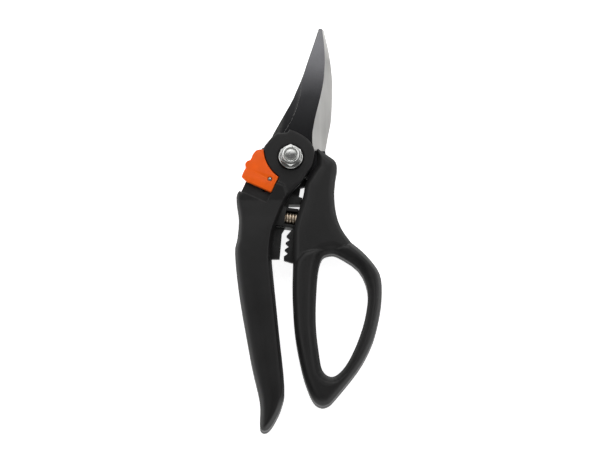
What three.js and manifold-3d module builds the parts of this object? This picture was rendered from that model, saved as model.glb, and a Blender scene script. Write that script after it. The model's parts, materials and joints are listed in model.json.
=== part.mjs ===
// Bypass pruning shears lying flat: millimetres, +Z up, blades towards +Y.
// The origin is on the pivot axis, in the plane that the handle backs and the bolt head rest on.
import * as THREE from 'three';
import { mergeVertices } from 'three/addons/utils/BufferGeometryUtils.js';
import Module from 'manifold-3d';

const wasm = await Module();
wasm.setup();

// ---- driving dimensions --------------------------------------------------------------

const gap = 0.3; // between pieces that touch
const roundSteps = [90, 60, 30, 0].map(THREE.MathUtils.degToRad); // of a rounded rim
const slideGap = 0.4; // between the thumb lock and its track
const partingZ = 9; // where the two shells of each handle meet

const gripThickness = 18; // palm handle
const cheekWall = 4; // front cheek of the fork, over the blades
const gripRound = 2.6;
const headRound = 0.8;
const loopThickness = 17.4; // finger loop
const loopRound = 2.8;
const bodyThickness = 15; // flat upper part of the finger handle
const bodyRound = 1.5;

const bladeThickness = 2.8;
const bladeLength = 67.3; // pivot to tip
const bladeEyeRadius = 11.4; // round base of each blade at the pivot
const heelRadius = 17; // lobe of the cutting blade that the lock pin stands beside
const heelFrom = 234.5; // degrees
const heelTo = 246;
const edgeLand = 0.25; // thickness left at the cutting edge
const hookRelief = 2.4; // width of the slope behind the counter blade's edge
const hookLand = 0.6; // thickness left at the counter blade's edge

const cheekRadius = 11.5; // right side of the fork's cheeks
const fingerClearRadius = 13.4; // finger handle's edge round the cheeks

const boltRadius = 3;
const boltHeadFlats = 10;
const boltHeadHeight = 3.5;
const bushWall = 1.5;
const cavityRadius = 18.6; // of the fork's opening round the blades
const frictionWasherRadius = 7;
const frictionWasherThickness = 0.8;
const washerRim = 3; // width of the flat washer's ring
const washerThickness = 1.4;
const washerSeatDepth = 0.8;
const nutFlats = 10;
const nutHexHeight = 3.6;
const nutCollarWall = 1.15;
const nutHeight = 6;
const insertHeight = 1.6;

const springRadius = 3.15; // outside
const springWire = 1.5; // diameter
const springTurns = 9;
const springTilt = -7.7; // degrees
const springCentre = [0.15, -30.1];
const springHalfLength = 9; // each way from its centre, handles closed
const springEndRoom = 1.2; // from the spring's ends to the ends of its bores
const guideWall = 1.5;
const guideReach = 3.2; // how far the guide stands past the spring's centre
const guideRoot = -7.5; // its end inside the palm handle
const guideRoofEnd = -2.9; // up to here the guide is closed over the spring
const roofWall = 0.95;

const lockTravel = 5.5;
const lockDirection = 245.2; // degrees, towards the unlocked end
const lockLeaf = 2.3; // thickness of each leaf
const lockInset = 1.1; // rear leaf above the resting plane
const lockProud = 0.6; // front leaf in front of the cheeks
const lockRound = 0.5;
const lockSeatCentre = [4.4, 4.4];
const lockSeatRadius = 18;
const lockRail = [-22, -11.2]; // a point on the rail's outer edge
const lockWidth = 14; // from the rail's outer edge to the leaves' inner side
const lockFoot = 1.1; // the leaves' lower side, past the rail's point
const tabThinning = 3.4; // length of the thumb tab's lower end that only the front leaf keeps
const lockPinAt = [-10.4, -11.3];
const lockPinRadius = 0.9;
const detentAt = [-17.6, -12.6];
const detentBallRadius = 1.1;

const jawThickness = 3;
const toothPitch = 3.5;
const toothDepth = 1.7;
const toothTip = 0.4; // width of each tooth's flat
const toothCount = 4;
const stopFootZ = 2.5; // underside of the closing stop

const screwRadius = 1.5;
const screwHeadRadius = 2.8;
const screwHeadHeight = 1.9;
const screwHeadDepth = 1.3; // below the back face
const screwLength = 11;
const palmScrews = { upper: [-16.2, -29], middle: [-18, -60], lower: [-11.5, -118] };
const fingerScrews = { upper: [17, -13], middle: [13.5, -40], lower: [16.5, -118] };

// ---- values that follow --------------------------------------------------------------

const below = -1; // a height clear of every piece, for cuts that go right through
const above = 40;
const bushRadius = boltRadius + bushWall;
const washerRadius = boltRadius + washerRim;
const nutCollarRadius = boltRadius + nutCollarWall;
const guideHalf = springRadius + gap + guideWall;
const guideRoofTop = partingZ + springRadius + gap + roofWall;
const counterZ = partingZ - 0.1 - bladeThickness;
const cuttingZ = partingZ + 0.2;
const cuttingTop = cuttingZ + bladeThickness;
const cavityFrom = counterZ - gap;
const cavityTo = cuttingTop + gap;
const headThickness = cavityTo + cheekWall;
const lockFront = headThickness + lockProud;
const washerSeatZ = headThickness - washerSeatDepth;
const washerZ = washerSeatZ + gap;
const nutZ = washerZ + washerThickness + gap;
const nutTop = nutZ + nutHeight;
const boltTop = nutTop - 0.6;
const jawZ = partingZ - jawThickness / 2;
const trackFoot = lockFoot + lockTravel + slideGap;
const tipScale = bladeLength / 67.3;

const black = { color: 0x262627, roughness: 0.55, metalness: 0 };
const orange = { color: 0xf0641a, roughness: 0.4, metalness: 0 };
const zinc = { color: 0xc4c4c0, roughness: 0.3, metalness: 1 };
const coated = { color: 0x303034, roughness: 0.35, metalness: 0.6 };
const springSteel = { color: 0xb2a18c, roughness: 0.35, metalness: 1 };
const nylon = { color: 0xd8dad8, roughness: 0.6, metalness: 0 };

// ---- outlines ------------------------------------------------------------------------

const rad = THREE.MathUtils.degToRad;
const slideAlong = [Math.cos(rad(lockDirection)), Math.sin(rad(lockDirection))];

const points = (list) => list.map(([x, y]) => new THREE.Vector2(x, y));

function curve(list, perSpan = 4) {
  return new THREE.SplineCurve(points(list)).getPoints((list.length - 1) * perSpan);
}

function arc([x, y], radius, from, to, steps = 12) {
  return Array.from({ length: steps + 1 }, (_, i) => {
    const angle = rad(from + ((to - from) * i) / steps);
    return new THREE.Vector2(x + radius * Math.cos(angle), y + radius * Math.sin(angle));
  });
}

// Joins runs of points into one closed outline without doubled points, anticlockwise.
function outline(...runs) {
  const all = runs.flat().filter((p, i, list) => p.distanceTo(list.at(i - 1)) > 0.05);
  return THREE.ShapeUtils.isClockWise(all) ? all.reverse() : all;
}

// The outline moved outwards by a distance.
function grown(line, distance) {
  return line.map((p, i) => {
    const before = line.at(i - 1);
    const after = line[(i + 1) % line.length];
    const a = p.clone().sub(before).normalize();
    const b = after.clone().sub(p).normalize();
    const bend = Math.max(0.5, Math.sqrt((1 + a.dot(b)) / 2));
    const out = new THREE.Vector2(a.y + b.y, -a.x - b.x).normalize();
    return p.clone().addScaledVector(out, distance / bend);
  });
}

// A point beside the lock's rail: along its travel, and out from its edge.
function byRail(along, out) {
  const [ux, uy] = slideAlong;
  return [lockRail[0] + ux * along + uy * out, lockRail[1] + uy * along - ux * out];
}

// A point beside the spring's guide: along the spring's axis from its centre, and clear of one side.
function byGuide(along, side, room = gap) {
  const out = side * (guideHalf + room);
  const tilt = rad(springTilt);
  return [springCentre[0] + along * Math.cos(tilt) - out * Math.sin(tilt),
    springCentre[1] + along * Math.sin(tilt) + out * Math.cos(tilt)];
}

const tipBlade = ([x, y]) => [x * tipScale, y * tipScale];

const hookEdge = [[14, 67.8], [6.6, 45], [2.6, 35], [0.4, 30], [-4.8, 20.6], [-9.2, 12.6]].map(tipBlade);
const bladeSpine = [[14.2, 67.3], [6.5, 43.8], [4.1, 30], [0.4, 20], [-3.6, 13.6]].map(tipBlade);
const bladeEdge = [[16.6, 66.7], [19.1, 55.4], [20.6, 43.6], [20.8, 33.8], [20.2, 20.4], [18.7, 12.2],
  [17.2, 4]].map(tipBlade);
const bevelLine = [[15.8, 66.9], [17, 55.2], [16.8, 43.4], [15.2, 33.4], [12, 20], [10.8, 12], [11.2, 4]]
  .map(tipBlade);

const counterBack = [[7.6, 10.2], [8.3, 12.5], [11, 16.6], [13.8, 24], [15.6, 38], [16.4, 52],
  [15.8, 65.4], [14.8, 67.8]].map(tipBlade);

const counterBlade = outline(
  curve(hookEdge, 6),
  arc([0, 0], bladeEyeRadius, 128, 225, 14),
  points([[-8.4, -12.5], [-10.8, -17.6], [-12.6, -20.4], [-20.2, -25], [-21.4, -34], [-22, -64],
    [-14, -64], [-13.4, -33.5], [-12.6, -28.5], [-8, -25.4], [-3, -19.4], [0.5, -14.5]]),
  arc([0, 0], bladeEyeRadius, -60, 46, 14),
  curve(counterBack),
);

const cuttingBlade = outline(
  curve(bladeSpine, 5),
  arc([0, 0], bladeEyeRadius, 118, heelFrom - 3, 14),
  arc([0, 0], heelRadius, heelFrom, heelTo, 4),
  arc([0, 0], bladeEyeRadius, heelTo + 4, 310, 6),
  points([[9.4, -11.4], [10.6, -18], [12.6, -26], [12.6, -36], [9.6, -39], [9.6, -44.4], [17.4, -44.4],
    [19.6, -34], [19.4, -18], [19.6, -8], [18.2, -1.6]]),
  curve(bladeEdge, 6).reverse(),
);

const cheeks = outline(
  points([[-13.7, 5.2], [-9.4, 10.5]]),
  points([[-6.9, 12.4], [-1.6, 12.7]]),
  curve([[-0.6, 14.4], [2.6, 13.2], [6.1, 11.3], [9.1, 8.9], [11.2, 5.8], [12, 3.2], [11.8, 0.4]]),
  arc([0, 0], cheekRadius, -12, -42, 6),
  curve([[6.1, -11.8], [0.3, -18.1], [-4.6, -24.4]]),
  points([[-9, -28], byRail(9, -8), byRail(9, 0), byRail(-18, 0)]),
);

const grip = outline(
  curve([[-25.4, -16.4], [-27.2, -20.4], [-25.9, -31], [-26.6, -41], [-27.8, -49], [-25.3, -71.5],
    [-19.7, -103.5], [-15.4, -123], [-15.3, -135], [-14.8, -137.6], [-13, -138.6], [-10.6, -137.4],
    [-7.6, -133], [-4.4, -125.6], [-3.1, -116], [-5.9, -88], [-9.3, -54]]),
  curve([[-9.5, -50], [-9.1, -43], [-7.8, -36], [-3.6, -24.6], [-1, -20]]),
  points([[-3, -14], [-14, -9], [-20.5, -11]]),
);

const lockShape = outline(
  arc(lockSeatCentre, lockSeatRadius, 181.8, 233.9, 12),
  points([byRail(-6.9, -lockWidth), byRail(lockFoot - 0.3, -lockWidth), byRail(lockFoot, -lockWidth + 0.5),
    byRail(lockFoot, -0.4), byRail(0.1, 2.8)]),
  curve([[-23.9, -8.2], [-23, -6.4], [-22.1, -5.5]]),
  curve([[-22.7, -4.6], [-22.7, -3.4], [-21.8, -2.1], [-20.2, -1.5]]),
  curve([[-19.6, -0.3], [-18.8, 1.6], [-17.2, 3.4], [-15.4, 3.9]]),
);

const trackShape = outline(
  arc(lockSeatCentre, lockSeatRadius - slideGap, 178, 234.5, 12),
  points([byRail(-7.4, -lockWidth - slideGap), byRail(trackFoot, -lockWidth - slideGap),
    byRail(trackFoot, 0), byRail(trackFoot - 0.8, 3.5), byRail(trackFoot - 3, 12), byRail(-20, 12),
    byRail(-20, -0.5)]),
);

// Cut from behind the front leaf, so that the thumb tab thins towards its lower end.
const tabRelief = outline(points([byRail(-tabThinning, slideGap), byRail(lockFoot + 1, slideGap),
  byRail(lockFoot + 1, 8), byRail(-tabThinning, 8)]));
const railSide = outline(points([byRail(-30, slideGap), byRail(30, slideGap), byRail(30, -30),
  byRail(-30, -30)]));
const beyondRail = outline(points([byRail(-22, 0), byRail(-22, 14), byRail(trackFoot - 3, 14),
  byRail(trackFoot - 0.8, 3.5), byRail(trackFoot, 0)]));

const fingerBody = outline(
  arc([0, 0], fingerClearRadius, -14, 17, 6),
  curve([[13.6, 5.2], [15.2, 3.8], [19.2, 1], [22.2, -1.4], [23.2, -5], [22.3, -11], [21.8, -19],
    [22.8, -28.6], [25.6, -36.4], [31, -44]]),
  points([[24, -47], [14, -50], [8, -56], [1.3, -57]]),
  curve([[1.1, -54], [1.3, -40], [1.6, -35], [3.4, -28.4], [6.2, -19.4], [7.3, -13.2], [9.3, -9.2],
    [11.1, -5.8]]),
);

const loopOuter = outline(
  curve([[1.1, -56], [0.9, -70], [2, -88], [4.4, -102.5], [7.2, -113.6], [10.8, -122.4], [14.4, -125.6],
    [18.4, -125.2], [22.6, -121.2], [33.6, -107.2], [40, -95.3], [43.4, -84], [45.4, -71],
    [44.4, -59], [37.6, -49.4], [30, -42.8]]),
  curve([[24, -45.6], [14, -46.4], [6.6, -48], [2.9, -52]]),
);
const loopHole = outline(curve([[19.2, -48.8], [23.4, -49.4], [33.6, -56.4], [38.2, -67], [37.6, -78.4],
  [34.7, -89.6], [30.1, -100.7], [25.4, -108], [20.4, -111.1], [15.8, -107.8], [14, -98.4], [12.7, -86.7],
  [12.6, -74], [13.6, -58], [15.7, -50.5], [19.2, -48.8]], 3));

// Plates that stand out of the handles' inner edges, each closed inside its handle.
const stopPlate = outline(points([[-9, -17.4], [0.6, -17.4], [3.8, -19], [5.8, -19.6], [4.9, -22.8],
  [-0.8, -22.8], byGuide(-2, 1), byGuide(-10, 1)]));
const stopFoot = outline(points([[-3, -20], [2.2, -13.6], [5.5, -9.6], [8.6, -9.6], [6.9, -12.9],
  [4.9, -13.4], [3.9, -19.2], [5.8, -19.6], [4.9, -22.8], [-0.8, -22.8]]));
const palmJaw = outline(points([byGuide(-2.2, -1), [-4.4, -37.6], [-5.5, -50.8], [-12.2, -50.8],
  byGuide(-12, -1)]));

function toothedJaw() {
  const firstTip = [-2.1, -39.2];
  const lean = -0.45; // the row leans towards the palm handle
  const hidden = 5.6; // the plate ends here, inside the handle
  const jawRoom = 1.5 * gap; // it passes under the guide as the handles open
  const row = [];
  for (let i = 0; i < toothCount; i += 1) {
    const [x, y] = [firstTip[0] + lean * i, firstTip[1] - toothPitch * i];
    row.push([x, y + toothTip / 2], [x, y - toothTip / 2], [x + toothDepth, y - toothPitch / 2]);
  }
  const [valley, foot] = row.pop();
  return outline(points([byGuide(hidden, -1, jawRoom), byGuide(1.4, -1, jawRoom), ...row,
    [valley - toothDepth, foot], [0.4, foot - 1.2], [hidden, foot - 1.2]]));
}
const fingerJaw = toothedJaw();

// ---- solids --------------------------------------------------------------------------

function solidOf(geometry) {
  geometry.deleteAttribute('normal');
  geometry.deleteAttribute('uv');
  const merged = mergeVertices(geometry, 1e-5);
  return new wasm.Manifold(new wasm.Mesh({
    numProp: 3,
    vertProperties: new Float32Array(merged.attributes.position.array),
    triVerts: new Uint32Array(merged.index.array),
  }));
}

// A closed solid through sections that all have the same number of corners, the first one facing down.
function loft(sections) {
  const count = sections[0].length;
  const widest = sections[Math.floor(sections.length / 2)];
  const flat = widest.map(([x, y]) => new THREE.Vector2(x, y));
  const index = [];
  for (let i = 0; i < sections.length - 1; i += 1) {
    for (let j = 0; j < count; j += 1) {
      const [a, b] = [i * count + j, i * count + ((j + 1) % count)];
      index.push(a, b, b + count, a, b + count, a + count);
    }
  }
  const top = (sections.length - 1) * count;
  const caps = count === 4 ? [[0, 1, 2], [0, 2, 3]] : THREE.ShapeUtils.triangulateShape(flat, []);
  for (const [a, b, c] of caps) {
    index.push(a, c, b, top + a, top + b, top + c);
  }
  const geometry = new THREE.BufferGeometry();
  geometry.setAttribute('position', new THREE.Float32BufferAttribute(sections.flat(2), 3));
  geometry.setIndex(index);
  return solidOf(geometry);
}

// An outline between two heights, its rims rounded inwards, or outwards where the rounding is negative.
function slab(line, from, to, round = 0) {
  if (round === 0) {
    const depth = to - from;
    const geometry = new THREE.ExtrudeGeometry(new THREE.Shape(line), { depth, bevelEnabled: false });
    return solidOf(geometry.translate(0, 0, from));
  }
  const size = Math.abs(round);
  const rings = roundSteps.map((angle) => [size * (1 - Math.sin(angle)), round * (1 - Math.cos(angle))]);
  const all = [...rings.map(([rise, inset]) => [from + rise, inset]),
    ...rings.reverse().map(([rise, inset]) => [to - rise, inset])];
  return loft(all.map(([z, inset]) => grown(line, -inset).map((p) => [p.x, p.y, z])));
}

function rod([x, y], radius, from, to, sides = 32) {
  const geometry = new THREE.CylinderGeometry(radius, radius, to - from, sides);
  return solidOf(geometry.rotateX(Math.PI / 2).translate(x, y, (from + to) / 2));
}

function hexPrism([x, y], flats, from, to) {
  return rod([x, y], flats / Math.sqrt(3), from, to, 6);
}

function ball([x, y], z, radius) {
  return solidOf(new THREE.SphereGeometry(radius, 20, 12).translate(x, y, z));
}

// A solid of revolution about the pivot axis; the profile closes on itself.
function turned(profile, sides = 32) {
  const line = points([...profile, profile[0]]);
  return solidOf(new THREE.LatheGeometry(line, sides).rotateX(Math.PI / 2));
}

// The part of a solid below the parting plane, or above it.
const beyondAll = outline(points([[-90, -200], [90, -200], [90, 120], [-90, 120]]));
const halfBelow = (solid) => solid.subtract(slab(beyondAll, partingZ - gap / 2, above));
const halfAbove = (solid) => solid.subtract(slab(beyondAll, below, partingZ + gap / 2));

const group = new THREE.Group();

function add(name, solid, look) {
  const data = solid.getMesh();
  const positions = new Float32Array(data.numVert * 3);
  for (let i = 0; i < data.numVert; i += 1) {
    positions.set(data.vertProperties.subarray(i * data.numProp, i * data.numProp + 3), i * 3);
  }
  const geometry = new THREE.BufferGeometry();
  geometry.setAttribute('position', new THREE.BufferAttribute(positions, 3));
  geometry.setIndex(new THREE.BufferAttribute(new Uint32Array(data.triVerts), 1));
  geometry.computeVertexNormals();
  const mesh = new THREE.Mesh(geometry, new THREE.MeshStandardMaterial(look));
  mesh.name = name;
  group.add(mesh);
}

// ---- spring and its places -----------------------------------------------------------

// A solid made along +X about the origin, put on the spring's axis.
function onSpringAxis(geometry) {
  return geometry.rotateZ(rad(springTilt)).translate(springCentre[0], springCentre[1], partingZ);
}

function springBore(from, to) {
  const radius = springRadius + gap;
  const geometry = new THREE.CylinderGeometry(radius, radius, to - from, 24).rotateZ(Math.PI / 2);
  return solidOf(onSpringAxis(geometry.translate((from + to) / 2, 0, 0)));
}

class Helix extends THREE.Curve {
  getPoint(t, target = new THREE.Vector3()) {
    const angle = 2 * Math.PI * springTurns * t;
    const radius = springRadius - springWire / 2;
    const half = springHalfLength - springWire / 2;
    return target.set(-half + 2 * half * t, radius * Math.cos(angle), radius * Math.sin(angle));
  }
}

function mainSpring() {
  const section = new THREE.Shape(arc([0, 0], springWire / 2, 0, 300, 5));
  return solidOf(onSpringAxis(new THREE.ExtrudeGeometry(section, {
    extrudePath: new Helix(),
    steps: springTurns * 12,
  })));
}

// A box along the spring's axis, between two places on it and two heights.
function besideSpring(from, to, halfWidth, low, high) {
  const block = new THREE.BoxGeometry(to - from, 2 * halfWidth, high - low);
  return solidOf(onSpringAxis(block.translate((from + to) / 2, 0, (low + high) / 2 - partingZ)));
}

// Outer shape of the channel that keeps the spring straight, with room round it where that is asked for.
function guideBlock(room) {
  const half = guideHalf + room;
  const low = partingZ - half;
  const start = guideRoot - room;
  const channel = besideSpring(start, guideReach + room, half, low, partingZ + springRadius - gap + room);
  return channel.add(besideSpring(start, guideRoofEnd + room, half, low, guideRoofTop + room));
}

function springGuide() {
  const half = springRadius + gap;
  return guideBlock(0).subtract(springBore(-30, 30))
    .subtract(besideSpring(guideRoofEnd, 30, half, partingZ, 30));
}

// ---- screws --------------------------------------------------------------------------

function screw(at) {
  const head = rod(at, screwHeadRadius, screwHeadDepth, screwHeadDepth + screwHeadHeight, 24);
  const shank = rod(at, screwRadius, screwHeadDepth + 1, screwHeadDepth + screwHeadHeight + screwLength, 16);
  const slot = (length, width) => slab(outline(points([[-length, -width], [length, -width], [length, width],
    [-length, width]])), 0, screwHeadDepth + 1.1).translate([at[0], at[1], 0]);
  return head.add(shank).subtract(slot(1.7, 0.35)).subtract(slot(0.35, 1.7));
}

function screwHole(at) {
  const depth = screwHeadDepth + screwHeadHeight + gap;
  return rod(at, screwHeadRadius + gap, -1, depth, 24)
    .add(rod(at, screwRadius + gap, 0, depth + screwLength, 16));
}

const withoutEach = (solid, cuts) => cuts.reduce((left, cut) => left.subtract(cut), solid);

// ---- palm handle ---------------------------------------------------------------------

function palmHandle() {
  const body = slab(grip, 0, gripThickness, gripRound).add(slab(cheeks, 0, headThickness, headRound));
  const pinSlot = outline(
    arc(lockPinAt, lockPinRadius + gap, lockDirection - 270, lockDirection - 90, 8),
    arc([lockPinAt[0] + slideAlong[0] * lockTravel, lockPinAt[1] + slideAlong[1] * lockTravel],
      lockPinRadius + gap, lockDirection - 90, lockDirection + 90, 8),
  );
  const cuts = [
    slab(beyondRail, below, above),
    slab(trackShape, lockFront - lockLeaf - slideGap, above),
    slab(trackShape, below, lockInset + lockLeaf + slideGap),
    slab(pinSlot, below, above),
    rod([0, 0], cavityRadius, cavityFrom, cavityTo, 64),
    slab(grown(counterBlade, gap), cavityFrom, partingZ + gap / 2),
    slab(grown(palmJaw, gap), jawZ - gap, jawZ + jawThickness + gap),
    slab(grown(stopPlate, gap), jawZ - gap, jawZ + jawThickness + gap),
    slab(grown(stopFoot, gap), stopFootZ - gap, jawZ + gap),
    springBore(-springHalfLength - springEndRoom, 30),
    guideBlock(gap),
    hexPrism([0, 0], boltHeadFlats + 2 * gap, below, boltHeadHeight + gap),
    rod([0, 0], boltRadius + gap, below, above),
    rod([0, 0], washerRadius + 2 * gap, washerSeatZ, above, 40),
    rod([0, 0], frictionWasherRadius + gap, cavityFrom - frictionWasherThickness - gap,
      cavityTo + frictionWasherThickness + gap),
    rod(detentAt, detentBallRadius + gap, partingZ + 1, above, 16),
    ...Object.values(palmScrews).map(screwHole),
  ];
  return withoutEach(body, cuts);
}

const palm = palmHandle();
add('palm_rear_shell', halfBelow(palm), black);
add('palm_front_shell', halfAbove(palm), black);

// ---- finger handle -------------------------------------------------------------------

function fingerHandle() {
  const middle = (loopThickness - bodyThickness) / 2;
  const body = slab(fingerBody, middle, middle + bodyThickness, bodyRound)
    .add(slab(loopOuter, 0, loopThickness, loopRound));
  const cuts = [
    slab(loopHole, 0, loopThickness, -loopRound),
    slab(grown(cuttingBlade, gap), partingZ - gap / 2, cavityTo),
    slab(grown(fingerJaw, gap), jawZ - gap, jawZ + jawThickness + gap),
    springBore(-30, springHalfLength + springEndRoom),
    guideBlock(gap),
    ...Object.values(fingerScrews).map(screwHole),
  ];
  return withoutEach(body, cuts);
}

const finger = fingerHandle();
add('finger_rear_shell', halfBelow(finger), black);
add('finger_front_shell', halfAbove(finger), black);

// ---- blades --------------------------------------------------------------------------

function cuttingBladeSolid() {
  const flat = slab(cuttingBlade, cuttingZ, cuttingTop);
  const edge = curve(bladeEdge, 6);
  const line = curve(bevelLine, 6);
  const sections = edge.map((p, i) => {
    const out = p.clone().sub(line[i]).normalize();
    const beyond = p.clone().addScaledVector(out, 2);
    const slope = (bladeThickness - edgeLand) / p.distanceTo(line[i]);
    return [
      [line[i].x, line[i].y, cuttingTop],
      [beyond.x, beyond.y, cuttingZ + edgeLand - 2 * slope],
      [beyond.x, beyond.y, cuttingTop + 3],
      [line[i].x, line[i].y, cuttingTop + 3],
    ];
  });
  return flat.subtract(loft(sections));
}

function counterBladeSolid() {
  const flat = slab(counterBlade, counterZ, counterZ + bladeThickness);
  const edge = curve(hookEdge, 6);
  const sections = edge.map((p, i) => {
    const next = edge[Math.min(i + 1, edge.length - 1)];
    const last = edge[Math.max(i - 1, 0)];
    const along = next.clone().sub(last).normalize();
    const inwards = new THREE.Vector2(-along.y, along.x);
    const a = p.clone().addScaledVector(inwards, hookRelief);
    const b = p.clone().addScaledVector(inwards, -2);
    const slope = (bladeThickness - hookLand) / hookRelief;
    return [
      [b.x, b.y, counterZ + (hookRelief + 2) * slope],
      [b.x, b.y, counterZ - 3],
      [a.x, a.y, counterZ - 3],
      [a.x, a.y, counterZ],
    ];
  });
  return flat.subtract(loft(sections));
}

const bushHole = rod([0, 0], bushRadius + gap, below, above);
const tangHoles = (screws) => Object.values(screws).map((at) => rod(at, screwRadius + gap, below, above, 16));
add('cutting_blade', withoutEach(cuttingBladeSolid(), [bushHole, ...tangHoles(fingerScrews)]), coated);
add('counter_blade', withoutEach(counterBladeSolid(), [bushHole, ...tangHoles(palmScrews)]), coated);

// ---- gripping jaws and spring --------------------------------------------------------

const jawSolid = (line) => slab(line, jawZ, jawZ + jawThickness);
add('closing_stop', jawSolid(stopPlate).add(slab(stopFoot, stopFootZ, jawZ + 0.5))
  .subtract(slab(grown(counterBlade, gap), cavityFrom, partingZ + gap / 2))
  .subtract(rod([0, 0], cavityRadius, cavityFrom, jawZ)), black);
add('palm_jaw', jawSolid(palmJaw), black);
add('finger_jaw', jawSolid(fingerJaw), black);
add('spring_guide', springGuide(), black);
add('main_spring', mainSpring(), springSteel);

// ---- pivot ---------------------------------------------------------------------------

add('pivot_bolt', hexPrism([0, 0], boltHeadFlats, 0, boltHeadHeight)
  .add(rod([0, 0], boltRadius, boltHeadHeight - 0.5, boltTop - 0.4))
  .add(rod([0, 0], boltRadius - 0.5, boltTop - 0.5, boltTop)), zinc);
add('pivot_bush', turned([[boltRadius + gap, cavityFrom + 0.1], [bushRadius, cavityFrom + 0.1],
  [bushRadius, cavityTo - 0.1], [boltRadius + gap, cavityTo - 0.1]]), zinc);
for (const [name, z] of [['rear', cavityFrom - frictionWasherThickness], ['front', cavityTo]]) {
  add(`friction_washer_${name}`, turned([[boltRadius + gap, z], [frictionWasherRadius, z],
    [frictionWasherRadius, z + frictionWasherThickness], [boltRadius + gap, z + frictionWasherThickness]]),
  nylon);
}
add('nut_washer', turned([[boltRadius + gap, washerZ], [washerRadius, washerZ],
  [washerRadius, washerZ + washerThickness - 0.2], [washerRadius - 0.3, washerZ + washerThickness],
  [boltRadius + gap, washerZ + washerThickness]], 40), zinc);

function lockNut() {
  const hexTop = nutZ + nutHexHeight;
  const chamfer = turned([[0, nutZ], [nutFlats / 2 + 0.1, nutZ], [nutFlats / Math.sqrt(3), nutZ + 0.6],
    [nutFlats / Math.sqrt(3), hexTop - 0.9], [nutFlats / 2 - 0.2, hexTop], [0, hexTop]]);
  const collar = turned([[0, nutZ + 1], [nutCollarRadius, nutZ + 1], [nutCollarRadius, nutTop - 0.8],
    [nutCollarRadius - 0.7, nutTop], [0, nutTop]]);
  return hexPrism([0, 0], nutFlats, nutZ, hexTop).intersect(chamfer).add(collar)
    .subtract(rod([0, 0], boltRadius + gap, below, above))
    .subtract(rod([0, 0], nutCollarRadius - 0.7, nutTop - insertHeight - 0.6, above));
}
add('pivot_nut', lockNut(), zinc);
add('nut_insert', turned([[boltRadius + 0.12, nutTop - insertHeight - 0.4],
  [nutCollarRadius - 0.85, nutTop - insertHeight - 0.4], [nutCollarRadius - 0.85, nutTop - 0.35],
  [boltRadius + 0.12, nutTop - 0.35]]), nylon);

// ---- thumb lock ----------------------------------------------------------------------

const lockBody = slab(lockShape, lockInset, lockFront, lockRound)
  .subtract(slab(railSide, lockInset + lockLeaf, lockFront - lockLeaf))
  .subtract(slab(tabRelief, below, lockFront - lockLeaf))
  .subtract(rod(lockPinAt, lockPinRadius + gap, below, above, 20));
add('thumb_lock', lockBody, orange);
add('lock_pin', rod(lockPinAt, lockPinRadius, lockInset + 0.5, lockFront - 0.7, 20), zinc);
add('detent_ball', ball(detentAt, lockFront - lockLeaf - slideGap - detentBallRadius + 0.1,
  detentBallRadius), zinc);
add('detent_spring', rod(detentAt, detentBallRadius - 0.2, partingZ + 1.3,
  lockFront - lockLeaf - slideGap - 2 * detentBallRadius - 0.2, 16), springSteel);

for (const [side, screws] of Object.entries({ palm: palmScrews, finger: fingerScrews })) {
  for (const [place, at] of Object.entries(screws)) {
    add(`${side}_screw_${place}`, screw(at), zinc);
  }
}

export default group;
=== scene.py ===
import json
import math

import bpy
from mathutils import Matrix, Vector, kdtree

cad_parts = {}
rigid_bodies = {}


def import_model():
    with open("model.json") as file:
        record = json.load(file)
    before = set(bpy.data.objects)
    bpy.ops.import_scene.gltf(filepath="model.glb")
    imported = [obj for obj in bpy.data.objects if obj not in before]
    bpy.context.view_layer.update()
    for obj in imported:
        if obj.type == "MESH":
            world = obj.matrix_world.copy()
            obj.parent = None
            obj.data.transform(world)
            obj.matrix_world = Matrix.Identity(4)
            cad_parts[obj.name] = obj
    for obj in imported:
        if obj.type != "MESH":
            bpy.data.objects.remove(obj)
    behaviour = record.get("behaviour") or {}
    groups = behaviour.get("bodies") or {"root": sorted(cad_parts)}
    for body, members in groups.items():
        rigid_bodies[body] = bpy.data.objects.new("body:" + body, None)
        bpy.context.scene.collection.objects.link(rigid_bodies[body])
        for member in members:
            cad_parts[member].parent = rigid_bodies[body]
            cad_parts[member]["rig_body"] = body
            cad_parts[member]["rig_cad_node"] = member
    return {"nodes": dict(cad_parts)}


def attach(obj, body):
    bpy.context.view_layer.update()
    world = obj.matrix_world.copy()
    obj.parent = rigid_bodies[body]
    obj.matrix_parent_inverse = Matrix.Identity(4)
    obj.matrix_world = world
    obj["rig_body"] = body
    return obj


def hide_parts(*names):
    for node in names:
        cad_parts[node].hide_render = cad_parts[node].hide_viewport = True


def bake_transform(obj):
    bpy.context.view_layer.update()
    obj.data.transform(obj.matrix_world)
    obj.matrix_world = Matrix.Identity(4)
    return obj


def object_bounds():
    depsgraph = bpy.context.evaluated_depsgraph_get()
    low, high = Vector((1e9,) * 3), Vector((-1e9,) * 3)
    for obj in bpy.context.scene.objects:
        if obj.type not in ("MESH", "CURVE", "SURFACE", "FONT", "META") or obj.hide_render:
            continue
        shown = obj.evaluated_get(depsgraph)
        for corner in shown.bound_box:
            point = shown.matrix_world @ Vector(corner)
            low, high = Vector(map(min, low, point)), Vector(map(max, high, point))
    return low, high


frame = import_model()
cadLow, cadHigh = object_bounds()
mm = 0.001
merging = {"distance": 1e-6, "flatAngle": 1.0}  # how a copied node is made clean
print("frame loaded:", len(frame["nodes"]), "nodes")


def deselectAll():
    for thing in bpy.context.selected_objects:
        thing.select_set(False)


def makeActive(thing):
    deselectAll()
    thing.select_set(True)
    bpy.context.view_layer.objects.active = thing


def applyModifiers(thing):
    makeActive(thing)
    for modifier in list(thing.modifiers):
        bpy.ops.object.modifier_apply(modifier=modifier.name)


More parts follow.
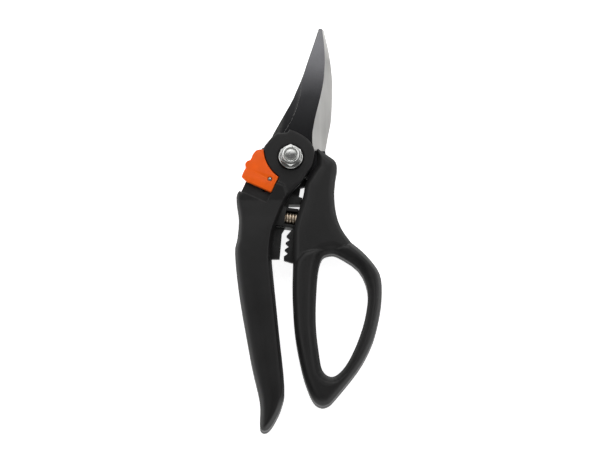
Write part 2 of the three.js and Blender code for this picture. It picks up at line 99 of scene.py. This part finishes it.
def copyNode(node, name):  # a merged copy of a CAD node, free to be reshaped
    makeActive(frame["nodes"][node])
    bpy.ops.object.duplicate()
    piece = bpy.context.active_object
    piece.name = name
    piece.data.name = name
    piece.parent = None
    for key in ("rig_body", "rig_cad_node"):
        if key in piece:
            del piece[key]
    piece.data.materials.clear()
    makeActive(piece)
    bpy.ops.object.mode_set(mode="EDIT")
    bpy.ops.mesh.select_all(action="SELECT")
    bpy.ops.mesh.remove_doubles(threshold=merging["distance"])
    bpy.ops.mesh.dissolve_limited(angle_limit=math.radians(merging["flatAngle"]))
    bpy.ops.object.mode_set(mode="OBJECT")
    return piece


def finishPiece(piece, body, slotName, material, *nodes):
    piece.data.materials.clear()
    piece.data.materials.append(material)
    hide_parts(*nodes)
    if body:
        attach(piece, body)


def newGroup(name, inputs, outputs):
    group = bpy.data.node_groups.new(name, "ShaderNodeTree")
    for label, kind, value in inputs:
        socket = group.interface.new_socket(name=label, in_out="INPUT", socket_type=kind)
        socket.default_value = value
    for label, kind in outputs:
        group.interface.new_socket(name=label, in_out="OUTPUT", socket_type=kind)
    start = group.nodes.new("NodeGroupInput")
    end = group.nodes.new("NodeGroupOutput")
    return group, start, end


def addNode(tree, kind, **values):
    node = tree.nodes.new(kind)
    for key, value in values.items():
        if key in node.inputs:
            node.inputs[key].default_value = value
        else:
            setattr(node, key, value)
    return node


def buildGrain():  # fine moulded texture, with soft patches in its depth
    group, start, end = newGroup("mouldedGrain", [
        ("Scale", "NodeSocketFloat", 2400.0), ("Patch Scale", "NodeSocketFloat", 60.0)],
        [("Height", "NodeSocketFloat"), ("Patches", "NodeSocketFloat")])
    place = addNode(group, "ShaderNodeTexCoord")
    fine = addNode(group, "ShaderNodeTexNoise", Detail=3.0, Roughness=0.6)
    broad = addNode(group, "ShaderNodeTexNoise", Detail=4.0, Roughness=0.55)
    link = group.links.new
    link(place.outputs["Object"], fine.inputs["Vector"])
    link(place.outputs["Object"], broad.inputs["Vector"])
    link(start.outputs["Scale"], fine.inputs["Scale"])
    link(start.outputs["Patch Scale"], broad.inputs["Scale"])
    link(fine.outputs["Fac"], end.inputs["Height"])
    link(broad.outputs["Fac"], end.inputs["Patches"])
    return group


def buildEdgeSheenAndWear():  # convex edges painted lighter: partly a painted edge highlight, partly rubbed wear, broken up by noise
    group, start, end = newGroup("edgeSheenAndWear", [
        ("From", "NodeSocketFloat", 0.52), ("To", "NodeSocketFloat", 0.6),
        ("Break Up", "NodeSocketFloat", 500.0)], [("Mask", "NodeSocketFloat")])
    geometry = addNode(group, "ShaderNodeNewGeometry")
    place = addNode(group, "ShaderNodeTexCoord")
    noise = addNode(group, "ShaderNodeTexNoise", Detail=4.0)
    spread = addNode(group, "ShaderNodeMapRange")
    blend = addNode(group, "ShaderNodeMath", operation="MULTIPLY")
    link = group.links.new
    link(place.outputs["Object"], noise.inputs["Vector"])
    link(start.outputs["Break Up"], noise.inputs["Scale"])
    link(geometry.outputs["Pointiness"], spread.inputs["Value"])
    link(start.outputs["From"], spread.inputs["From Min"])
    link(start.outputs["To"], spread.inputs["From Max"])
    link(spread.outputs["Result"], blend.inputs[0])
    link(noise.outputs["Fac"], blend.inputs[1])
    link(blend.outputs[0], end.inputs["Mask"])
    return group


def buildBrushing():  # long fine streaks, drawn out along one direction
    group, start, end = newGroup("brushing", [
        ("Across", "NodeSocketVector", (4000.0, 60.0, 4000.0))],
        [("Streaks", "NodeSocketFloat"), ("Broad", "NodeSocketFloat")])
    place = addNode(group, "ShaderNodeTexCoord")
    stretch = addNode(group, "ShaderNodeVectorMath", operation="MULTIPLY")
    fine = addNode(group, "ShaderNodeTexNoise", Scale=1.0, Detail=3.0, Roughness=0.7)
    slow = addNode(group, "ShaderNodeVectorMath", operation="SCALE")
    slow.inputs["Scale"].default_value = 0.12
    broad = addNode(group, "ShaderNodeTexNoise", Scale=1.0, Detail=2.0)
    link = group.links.new
    link(place.outputs["Object"], stretch.inputs[0])
    link(start.outputs["Across"], stretch.inputs[1])
    link(stretch.outputs[0], fine.inputs["Vector"])
    link(stretch.outputs[0], slow.inputs[0])
    link(slow.outputs[0], broad.inputs["Vector"])
    link(fine.outputs["Fac"], end.inputs["Streaks"])
    link(broad.outputs["Fac"], end.inputs["Broad"])
    return group


grainGroup = buildGrain()
edgeSheenAndWearGroup = buildEdgeSheenAndWear()
brushGroup = buildBrushing()


def newMaterial(name, **values):
    material = bpy.data.materials.new(name)
    material.use_nodes = True
    shader = material.node_tree.nodes["Principled BSDF"]
    for key, value in values.items():
        shader.inputs[key].default_value = value
    return material, material.node_tree, shader


def placeGroup(tree, group, **values):
    node = tree.nodes.new("ShaderNodeGroup")
    node.node_tree = group
    for key, value in values.items():
        node.inputs[key.replace("_", " ")].default_value = value
    return node


def ramp(tree, source, stops):  # colours or greys over a value
    node = tree.nodes.new("ShaderNodeValToRGB")
    while len(node.color_ramp.elements) < len(stops):
        node.color_ramp.elements.new(0.5)
    for element, (at, colour) in zip(node.color_ramp.elements, stops):
        element.position = at
        element.color = (*colour, 1) if isinstance(colour, tuple) else (colour, colour, colour, 1)
    tree.links.new(source, node.inputs["Fac"])
    return node.outputs["Color"]


def mixColour(tree, factor, first, second, kind="MIX"):
    node = tree.nodes.new("ShaderNodeMix")
    node.data_type = "RGBA"
    node.blend_type = kind
    for socket, value in ((node.inputs["Factor"], factor), (node.inputs[6], first), (node.inputs[7], second)):
        if hasattr(value, "is_linked"):
            tree.links.new(value, socket)
        elif socket.name == "Factor":
            socket.default_value = value
        else:
            socket.default_value = (*value, 1)
    return node.outputs[2]


def bump(tree, height, shader, strength, distance):
    node = tree.nodes.new("ShaderNodeBump")
    node.inputs["Strength"].default_value = strength
    node.inputs["Distance"].default_value = distance
    tree.links.new(height, node.inputs["Height"])
    tree.links.new(node.outputs["Normal"], shader.inputs["Normal"])


def plasticMaterial(name, base, edgeSheenAndWearTone, roughness, grain=2400.0, strength=0.35, shine=0.3):
    material, tree, shader = newMaterial(name, **{"IOR": 1.5, "Specular IOR Level": shine})
    texture = placeGroup(tree, grainGroup, Scale=grain, Patch_Scale=45.0)
    # painted edge highlight with some wear: convex edges are painted in the lighter second colour
    edgeSheenAndWearMask = placeGroup(tree, edgeSheenAndWearGroup, From=0.51, To=0.6, Break_Up=350.0)
    dark = tuple(0.82 * c for c in base)
    light = tuple(1.18 * c for c in base)
    tone = ramp(tree, texture.outputs["Patches"], [(0.3, dark), (0.7, light)])
    colour = mixColour(tree, edgeSheenAndWearMask.outputs["Mask"], tone, edgeSheenAndWearTone)
    tree.links.new(colour, shader.inputs["Base Color"])
    rough = ramp(tree, texture.outputs["Patches"], [(0.3, roughness - 0.05), (0.7, roughness + 0.06)])
    tree.links.new(rough, shader.inputs["Roughness"])
    bump(tree, texture.outputs["Height"], shader, strength, 0.06 * mm)
    return material


def metalMaterial(name, base, shade, roughness, across, strength=0.15):
    material, tree, shader = newMaterial(name, Metallic=1.0)
    streaks = placeGroup(tree, brushGroup, Across=across)
    texture = placeGroup(tree, grainGroup, Scale=900.0, Patch_Scale=220.0)
    tone = ramp(tree, texture.outputs["Patches"], [(0.35, shade), (0.65, base)])
    tree.links.new(tone, shader.inputs["Base Color"])
    rough = ramp(tree, streaks.outputs["Streaks"], [(0.3, roughness - 0.06), (0.7, roughness + 0.1)])
    tree.links.new(rough, shader.inputs["Roughness"])
    bump(tree, streaks.outputs["Streaks"], shader, strength, 0.02 * mm)
    return material


# painted reflection: how much paler the coat is painted from its base (Y from) to the tips (Y to)
tipReflectionTone = {"from": 15 * mm, "to": 70 * mm,
            "stops": [(0.0, 0.26), (0.3, 0.42), (0.45, 0.74), (0.62, 1.13), (0.8, 1.25), (1.0, 1.15)]}


def paintTipReflection(tree):  # painted reflection: the coating is painted paler towards the tips, standing in for the reflection that brightens them
    place = addNode(tree, "ShaderNodeTexCoord")
    split = addNode(tree, "ShaderNodeSeparateXYZ")
    tree.links.new(place.outputs["Object"], split.inputs["Vector"])
    along = addNode(tree, "ShaderNodeMapRange")
    along.inputs["From Min"].default_value = tipReflectionTone["from"]
    along.inputs["From Max"].default_value = tipReflectionTone["to"]
    tree.links.new(split.outputs["Y"], along.inputs["Value"])
    return ramp(tree, along.outputs["Result"], tipReflectionTone["stops"])


def bladeMaterial(name, coatBase, coatRough, steel, steelRough):
    # coated faces lie flat; the ground slope leans, and shows bare steel
    material, tree, shader = newMaterial(name)
    geometry = addNode(tree, "ShaderNodeNewGeometry")
    split = addNode(tree, "ShaderNodeSeparateXYZ")
    tree.links.new(geometry.outputs["Normal"], split.inputs["Vector"])
    lean = addNode(tree, "ShaderNodeMath", operation="ABSOLUTE")
    tree.links.new(split.outputs["Z"], lean.inputs[0])
    ground = ramp(tree, lean.outputs[0], [(0.3, 0.0), (0.36, 1.0), (0.965, 1.0), (0.985, 0.0)])
    streaks = placeGroup(tree, brushGroup, Across=(2600.0, 90.0, 2600.0))
    texture = placeGroup(tree, grainGroup, Scale=1600.0, Patch_Scale=90.0)
    # painted edge highlight with some wear: convex edges of the coat are painted towards a steel tone
    edgeSheenAndWearMask = placeGroup(tree, edgeSheenAndWearGroup, From=0.53, To=0.62, Break_Up=600.0)
    bare = ramp(tree, streaks.outputs["Broad"], [(0.3, tuple(0.8 * c for c in steel)), (0.7, steel)])
    coat = ramp(tree, texture.outputs["Patches"], [(0.3, tuple(0.85 * c for c in coatBase)), (0.7, coatBase)])
    # the painted tip reflection multiplies the coat colour
    coat = mixColour(tree, 1.0, coat, paintTipReflection(tree), "MULTIPLY")
    coat = mixColour(tree, edgeSheenAndWearMask.outputs["Mask"], coat, tuple(0.35 * c for c in steel))
    tree.links.new(mixColour(tree, ground, coat, bare), shader.inputs["Base Color"])
    shader.inputs["Metallic"].default_value = 1.0
    steelTone = ramp(tree, streaks.outputs["Streaks"], [(0.3, steelRough - 0.05), (0.7, steelRough + 0.12)])
    tree.links.new(mixColour(tree, ground, (coatRough,) * 3, steelTone), shader.inputs["Roughness"])
    height = mixColour(tree, ground, texture.outputs["Height"], streaks.outputs["Streaks"])
    bump(tree, height, shader, 0.22, 0.02 * mm)
    return material


# each plastic's second colour is its painted edge highlight and wear tone
blackPlastic = plasticMaterial("blackPlastic", (0.0095, 0.0093, 0.0094), (0.03, 0.03, 0.03), 0.46)
jawPlastic = plasticMaterial("jawPlastic", (0.007, 0.007, 0.007), (0.02, 0.02, 0.02), 0.5)
orangePlastic = plasticMaterial("orangePlastic", (0.9, 0.115, 0.004), (0.95, 0.2, 0.03), 0.38,
                                grain=1500.0, strength=0.1, shine=0.2)
nylon = plasticMaterial("nylonWhite", (0.6, 0.61, 0.58), (0.7, 0.7, 0.68), 0.5)
zincPlate = metalMaterial("zincPlate", (0.66, 0.665, 0.65), (0.52, 0.525, 0.51), 0.2,
                          (600.0, 600.0, 600.0), 0.05)
springPlate = metalMaterial("springPlate", (0.62, 0.53, 0.43), (0.48, 0.4, 0.31), 0.34,
                            (1500.0, 1500.0, 1500.0), 0.06)
coatedBlade = bladeMaterial("coatedBlade", (0.13, 0.13, 0.137), 0.24, (0.42, 0.416, 0.405), 0.36)
print("materials ready")


handleShape = {
    "voxel": 0.33 * mm,
    "smoothing": 4,
    "midZ": 9 * mm,
    "core": 3.4 * mm,  # each way from the middle, left as it is round the blades
    "sectionZ": 14 * mm,  # a height at which the pockets leave the outline whole
    "longLoop": 60 * mm,  # shorter loops are screw and pin holes
    "sampleStep": 0.4 * mm,
}
# A side's profile, from the outline inwards: height kept at the edge, where the shoulder is and its height,
# and where the full thickness is reached. Heights are parts of half the thickness.
palmSides = {
    "left": {"edge": 0.54, "shoulder": 2.3 * mm, "height": 0.91, "full": 9 * mm, "bulge": 0.6},
    "right": {"edge": 0.5, "shoulder": 1.9 * mm, "height": 0.93, "full": 9 * mm, "bulge": 0.25},
}
loopSides = {
    "outer": {"edge": 0.52, "shoulder": 3.0 * mm, "height": 0.96, "full": 5.5 * mm, "bulge": 0.85},
    "inner": {"edge": 0.45, "shoulder": 4.8 * mm, "height": 0.98, "full": 6 * mm, "bulge": 1.0},
}
bodySide = {"edge": 0.62, "shoulder": 2.8 * mm, "height": 0.95, "full": 7 * mm, "bulge": 0.4}
palmBlank = {"half": 9 * mm, "rim": 2.6 * mm}
loopBlank = {"half": 8.7 * mm, "rim": 2.8 * mm}
bodyBlank = {"half": 7.5 * mm, "rim": 1.5 * mm}
palmSide = {"lean": -0.02, "bow": -4 * mm, "length": 110 * mm}  # the line that parts its left from its right
palmFade = (-24 * mm, -12 * mm)  # the profile gives way to the flat head between these
# the highest front at each place along the grip, so that it runs into the flat head
headRun = [(-62 * mm, 18.6 * mm), (-50 * mm, 18.0 * mm), (-40 * mm, 17.35 * mm), (-30 * mm, 16.7 * mm),
           (-22 * mm, 16.4 * mm), (-12 * mm, 17.6 * mm)]
headSoftness = 0.8 * mm  # height over which the two surfaces run together
bodyFade = (-54 * mm, -47 * mm)  # the loop's profile gives way to the flat upper body's


def outlineLoops(node):  # the long loops of a handle's section, each as a list of sample points
    probe = copyNode(node, "probe")
    bpy.ops.object.mode_set(mode="EDIT")
    bpy.ops.mesh.select_all(action="SELECT")
    bpy.ops.mesh.bisect(plane_co=(0, 0, handleShape["sectionZ"]), plane_no=(0, 0, 1),
                        clear_inner=True, clear_outer=True)
    bpy.ops.object.mode_set(mode="OBJECT")
    mesh = probe.data
    near = {v.index: [] for v in mesh.vertices}
    for edge in mesh.edges:
        first, second = edge.vertices
        near[first].append(second)
        near[second].append(first)
    seen, loops = set(), []
    for first in near:
        members, stack = set(), [first]
        while stack:
            at = stack.pop()
            if at not in seen:
                seen.add(at)
                members.add(at)
                stack.extend(near[at])
        samples, length = [], 0
        for edge in mesh.edges:
            if edge.vertices[0] in members:
                start, end = (mesh.vertices[i].co for i in edge.vertices)
                length += (end - start).length
                steps = max(1, math.ceil((end - start).length / handleShape["sampleStep"]))
                samples.extend(start.lerp(end, i / steps) for i in range(steps))
        if length > handleShape["longLoop"]:
            loops.append(samples)
    bpy.data.objects.remove(probe)
    return sorted(loops, key=len, reverse=True)


def flatTree(samples):
    tree = kdtree.KDTree(len(samples))
    for i, point in enumerate(samples):
        tree.insert((point.x, point.y, 0), i)
    tree.balance()
    return tree


def smoothStep(value, low, high):
    t = min(1.0, max(0.0, (value - low) / (high - low)))
    return t * t * (3 - 2 * t)


def sideHeight(side, away):
    if away < side["shoulder"]:
        t = away / side["shoulder"]
        rise = (1 - side["bulge"]) * t + side["bulge"] * math.sin(math.pi / 2 * t)
        return side["edge"] + (side["height"] - side["edge"]) * rise
    t = min(1.0, (away - side["shoulder"]) / (side["full"] - side["shoulder"]))
    return side["height"] + (1 - side["height"]) * math.sin(math.pi / 2 * t)


def rimHeight(away, rim, half):  # the height that the plain rounded rim has already
    inset = min(1.0, max(0.0, away / rim))
    return 1 - rim / half * (1 - math.sqrt(max(0.0, 1 - (1 - inset) ** 2)))


def profileScale(sides, distances, rim, half):
    height = min(sideHeight(side, away) for side, away in zip(sides, distances))
    return height / rimHeight(min(distances), rim, half)


def softLower(first, second, softness):  # the lower of two heights, rounded where they meet
    near = max(0.0, 1 - abs(first - second) / softness)
    return min(first, second) - near * near * softness / 4


def frontLimit(y):
    for (startY, startZ), (endY, endZ) in zip(headRun, headRun[1:]):
        if y < endY:
            return startZ + (endZ - startZ) * (y - startY) / (endY - startY)
    return headRun[-1][1]


def shapePalm(piece, trees):
    mid, core = handleShape["midZ"], handleShape["core"]
    half, rim = palmBlank["half"], palmBlank["rim"]
    for vertex in piece.data.vertices:
        x, y, z = vertex.co
        offset = abs(z - mid)
        if offset <= core:
            continue
        distances = [tree.find((x, y, 0))[2] for tree in trees]
        scale = profileScale((palmSides["left"], palmSides["right"]), distances, rim, half)
        share = 1 - smoothStep(y, *palmFade)
        top = half * rimHeight(min(distances), rim, half)
        wanted = top * (1 + (scale - 1) * share)
        shaped = core + (offset - core) * (wanted - core) / (top - core)
        vertex.co.z = softLower(mid + math.copysign(shaped, z - mid), frontLimit(y), headSoftness)


def shapeFinger(piece, trees):
    mid = handleShape["midZ"]
    for vertex in piece.data.vertices:
        x, y, z = vertex.co
        outer, inner = (tree.find((x, y, 0))[2] for tree in trees)
        away = (outer, inner)
        loop = profileScale(tuple(loopSides.values()), away, loopBlank["rim"], loopBlank["half"])
        body = profileScale((bodySide, loopSides["inner"]), away, bodyBlank["rim"], bodyBlank["half"])
        upper = smoothStep(y, *bodyFade)
        vertex.co.z = mid + (z - mid) * (loop + (body - loop) * upper)


def buildShell(node, name, body, reshape, trees):
    piece = copyNode(node, name)
    remesh = piece.modifiers.new("remesh", "REMESH")
    remesh.mode = "VOXEL"
    remesh.voxel_size = handleShape["voxel"]
    remesh.use_smooth_shade = True
    smooth = piece.modifiers.new("smooth", "SMOOTH")
    smooth.factor = 0.5
    smooth.iterations = handleShape["smoothing"]
    applyModifiers(piece)
    reshape(piece, trees)
    piece.data.update()
    finishPiece(piece, body, "handle_black", blackPlastic, node)
    print(name, len(piece.data.polygons), "faces")


palmLoop = outlineLoops("palm_front_shell")[0]
lowest = min(palmLoop, key=lambda point: point.y)


def onRight(point):  # the side of the palm handle that faces the finger loop
    up = point.y - lowest.y
    bow = palmSide["bow"] * math.sin(math.pi * min(1.0, up / palmSide["length"]))
    return point.x > lowest.x + palmSide["lean"] * up + bow


palmTrees = [flatTree([p for p in palmLoop if not onRight(p)]), flatTree([p for p in palmLoop if onRight(p)])]
fingerTrees = [flatTree(loop) for loop in outlineLoops("finger_front_shell")[:2]]
buildShell("palm_rear_shell", "palmShell_rear", "palm_handle", shapePalm, palmTrees)
buildShell("palm_front_shell", "palmShell_front", "palm_handle", shapePalm, palmTrees)
buildShell("finger_rear_shell", "fingerShell_rear", "finger_handle", shapeFinger, fingerTrees)
buildShell("finger_front_shell", "fingerShell_front", "finger_handle", shapeFinger, fingerTrees)
print("handles done")


edgeFinish = {"segments": 3, "from": 28, "crease": 24, "bladeCrease": 9}  # angles in degrees
softEdges = {  # node: (name, body, slot, material, edge width in mm)
    "cutting_blade": ("cuttingBlade", "finger_handle", "blade_coated", coatedBlade, 0.08),
    "counter_blade": ("counterBlade", "palm_handle", "blade_coated", coatedBlade, 0.08),
    "closing_stop": ("closingStop", "palm_handle", "handle_black", jawPlastic, 0.3),
    "palm_jaw": ("palmJaw", "palm_handle", "handle_black", jawPlastic, 0.3),
    "finger_jaw": ("fingerJaw", "finger_handle", "handle_black", jawPlastic, 0.22),
    "spring_guide": ("springGuide", "palm_handle", "handle_black", jawPlastic, 0.25),
    "thumb_lock": ("thumbLock", "lock", "lock_orange", orangePlastic, 0.3),
    "lock_pin": ("lockPin", "lock", "fastener_zinc", zincPlate, 0.2),
    "pivot_bolt": ("pivotBolt", "palm_handle", "fastener_zinc", zincPlate, 0.18),
    "pivot_nut": ("pivotNut", "palm_handle", "fastener_zinc", zincPlate, 0.15),
    "nut_insert": ("nutInsert", "palm_handle", "washer_nylon", nylon, 0.1),
    "nut_washer": ("nutWasher", "palm_handle", "fastener_zinc", zincPlate, 0.12),
    "pivot_bush": ("pivotBush", "palm_handle", "fastener_zinc", zincPlate, 0.1),
    "friction_washer_front": ("frictionWasher_front", "palm_handle", "washer_nylon", nylon, 0.1),
    "friction_washer_rear": ("frictionWasher_rear", "palm_handle", "washer_nylon", nylon, 0.1),
    "detent_ball": ("detentBall", "palm_handle", "fastener_zinc", zincPlate, 0.0),
    "detent_spring": ("detentSpring", "palm_handle", "spring_steel", springPlate, 0.1),
}
for place in ("upper", "middle", "lower"):
    for side in ("palm", "finger"):
        softEdges[f"{side}_screw_{place}"] = (f"{side}Screw_{place}", f"{side}_handle", "fastener_zinc",
                                              zincPlate, 0.1)


def softenedPiece(node, name, body, slotName, material, edge):
    piece = copyNode(node, name)
    if edge:
        bevel = piece.modifiers.new("edges", "BEVEL")
        bevel.width = edge * mm
        bevel.segments = edgeFinish["segments"]
        bevel.limit_method = "ANGLE"
        bevel.angle_limit = math.radians(edgeFinish["from"])
        applyModifiers(piece)
    crease = edgeFinish["bladeCrease" if material is coatedBlade else "crease"]
    makeActive(piece)
    bpy.ops.object.shade_smooth_by_angle(angle=math.radians(crease))
    finishPiece(piece, body, slotName, material, node)


for node, settings in softEdges.items():
    softenedPiece(node, *settings)
print("small pieces done")


springShape = {"outer": 3.15 * mm, "wire": 1.5 * mm, "turns": 9, "steps": 24, "sides": 12,
               "half": 9 * mm, "tilt": -7.7, "centre": (0.15 * mm, -30.1 * mm, 9 * mm),
               "open": 0.8, "closed": 0.1, "blendPart": 0.85}


def buildSpring():
    s = springShape
    radius = s["outer"] - s["wire"] / 2
    half = s["half"] - s["wire"] / 2
    turn = Matrix.Translation(s["centre"]) @ Matrix.Rotation(math.radians(s["tilt"]), 4, "Z")
    bpy.ops.curve.primitive_bezier_curve_add()
    wire = bpy.context.active_object
    curve = wire.data
    curve.splines.clear()
    spline = curve.splines.new("NURBS")
    count = s["turns"] * s["steps"] + 1
    spline.points.add(count - 1)
    for i in range(count):
        t = i / (count - 1)
        angle = 2 * math.pi * s["turns"] * t
        ends = min(1.0, t * s["turns"]) + max(0.0, 1 - (1 - t) * s["turns"])  # closed end turns
        along = -half + 2 * half * (t * s["open"] + s["closed"] * ends)
        point = turn @ Vector((along, radius * math.cos(angle), radius * math.sin(angle)))
        spline.points[i].co = (*point, 1)
    spline.use_endpoint_u = True
    spline.order_u = 3
    curve.resolution_u = 1
    curve.bevel_depth = s["wire"] / 2
    curve.bevel_resolution = 4
    curve.use_fill_caps = True
    makeActive(wire)
    bpy.ops.object.convert(target="MESH")
    wire = bpy.context.active_object
    wire.name = "mainSpring"
    bpy.ops.object.mode_set(mode="EDIT")
    bpy.ops.mesh.select_all(action="SELECT")
    bpy.ops.mesh.remove_doubles(threshold=1e-7)
    bpy.ops.mesh.normals_make_consistent(inside=False)
    bpy.ops.object.mode_set(mode="OBJECT")
    bpy.ops.object.shade_smooth()
    finishPiece(wire, None, "spring_steel", springPlate, "main_spring")
    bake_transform(wire)


buildSpring()
print("spring done")


studio = {
    "elevation": 78.0,
    "lens": 400.0,
    "viewWidth": 0.3,
    "aimShift": (-4.2 * mm, 2.2 * mm),
    "floorSize": 6.0,
    "floorDrop": 0.2 * mm,
    "floorGlow": 0.85,
    "floorTone": (0.9, 0.9, 0.9, 1),
    "skyGlow": 0.14,
}
studioLights = {
    "keyLeft": {"size": (0.9, 1.2), "power": 5, "place": (-1.0, 0.2, 0.75)},
    "fillRight": {"size": (0.9, 1.2), "power": 4.6, "place": (1.0, 0.1, 0.7)},
    "topSoft": {"size": (1.2, 0.8), "power": 4, "place": (0.0, 1.15, 0.7)},
    "footSoft": {"size": (1.2, 0.8), "power": 4, "place": (0.0, -1.2, 0.65)},
    "tipCard": {"size": (0.4, 0.3), "power": 0.7, "place": (0.0, 0.262, 0.3), "target": (0, 0.232, 0)},
}


def buildStage():
    floorPlace = (0, 0, cadLow[2] - studio["floorDrop"])
    bpy.ops.mesh.primitive_plane_add(size=studio["floorSize"], location=floorPlace)
    floor = bpy.context.active_object
    floor.name = "studioFloor"
    material, tree, shader = newMaterial("floorWhite", Roughness=0.9)
    shader.inputs["Base Color"].default_value = studio["floorTone"]
    shader.inputs["Emission Color"].default_value = (1, 1, 1, 1)
    shader.inputs["Emission Strength"].default_value = studio["floorGlow"]
    floor.data.materials.append(material)


def addLight(name, size, power, place, target=(0, 0, 0)):
    light = bpy.data.lights.new(name, "AREA")
    light.shape = "RECTANGLE"
    light.size, light.size_y = size
    light.energy = power
    lamp = bpy.data.objects.new(name, light)
    bpy.context.scene.collection.objects.link(lamp)
    lamp.location = place
    lamp.rotation_euler = (Vector(target) - Vector(place)).to_track_quat("-Z", "Y").to_euler()


def buildCamera():
    low, high = Vector(cadLow), Vector(cadHigh)
    target = (low + high) / 2
    target.x += studio["aimShift"][0]
    target.y += studio["aimShift"][1]
    target.z = handleShape["midZ"]
    camera = bpy.data.cameras.new("studioCamera")
    camera.lens = studio["lens"]
    distance = studio["viewWidth"] * camera.lens / camera.sensor_width
    tilt = math.radians(studio["elevation"])
    viewer = bpy.data.objects.new("studioCamera", camera)
    bpy.context.scene.collection.objects.link(viewer)
    viewer.location = target + Vector((0, -math.cos(tilt), math.sin(tilt))) * distance
    viewer.rotation_euler = (target - viewer.location).to_track_quat("-Z", "Y").to_euler()
    bpy.context.scene.camera = viewer


def buildLight():
    world = bpy.data.worlds.new("studioWorld")
    bpy.context.scene.world = world
    world.use_nodes = True
    world.node_tree.nodes["Background"].inputs["Color"].default_value = (1, 1, 1, 1)
    world.node_tree.nodes["Background"].inputs["Strength"].default_value = studio["skyGlow"]
    for name, settings in studioLights.items():
        addLight(name, **settings)


buildStage()
buildCamera()
buildLight()
bpy.context.scene.view_settings.view_transform = "Standard"
print("studio ready")
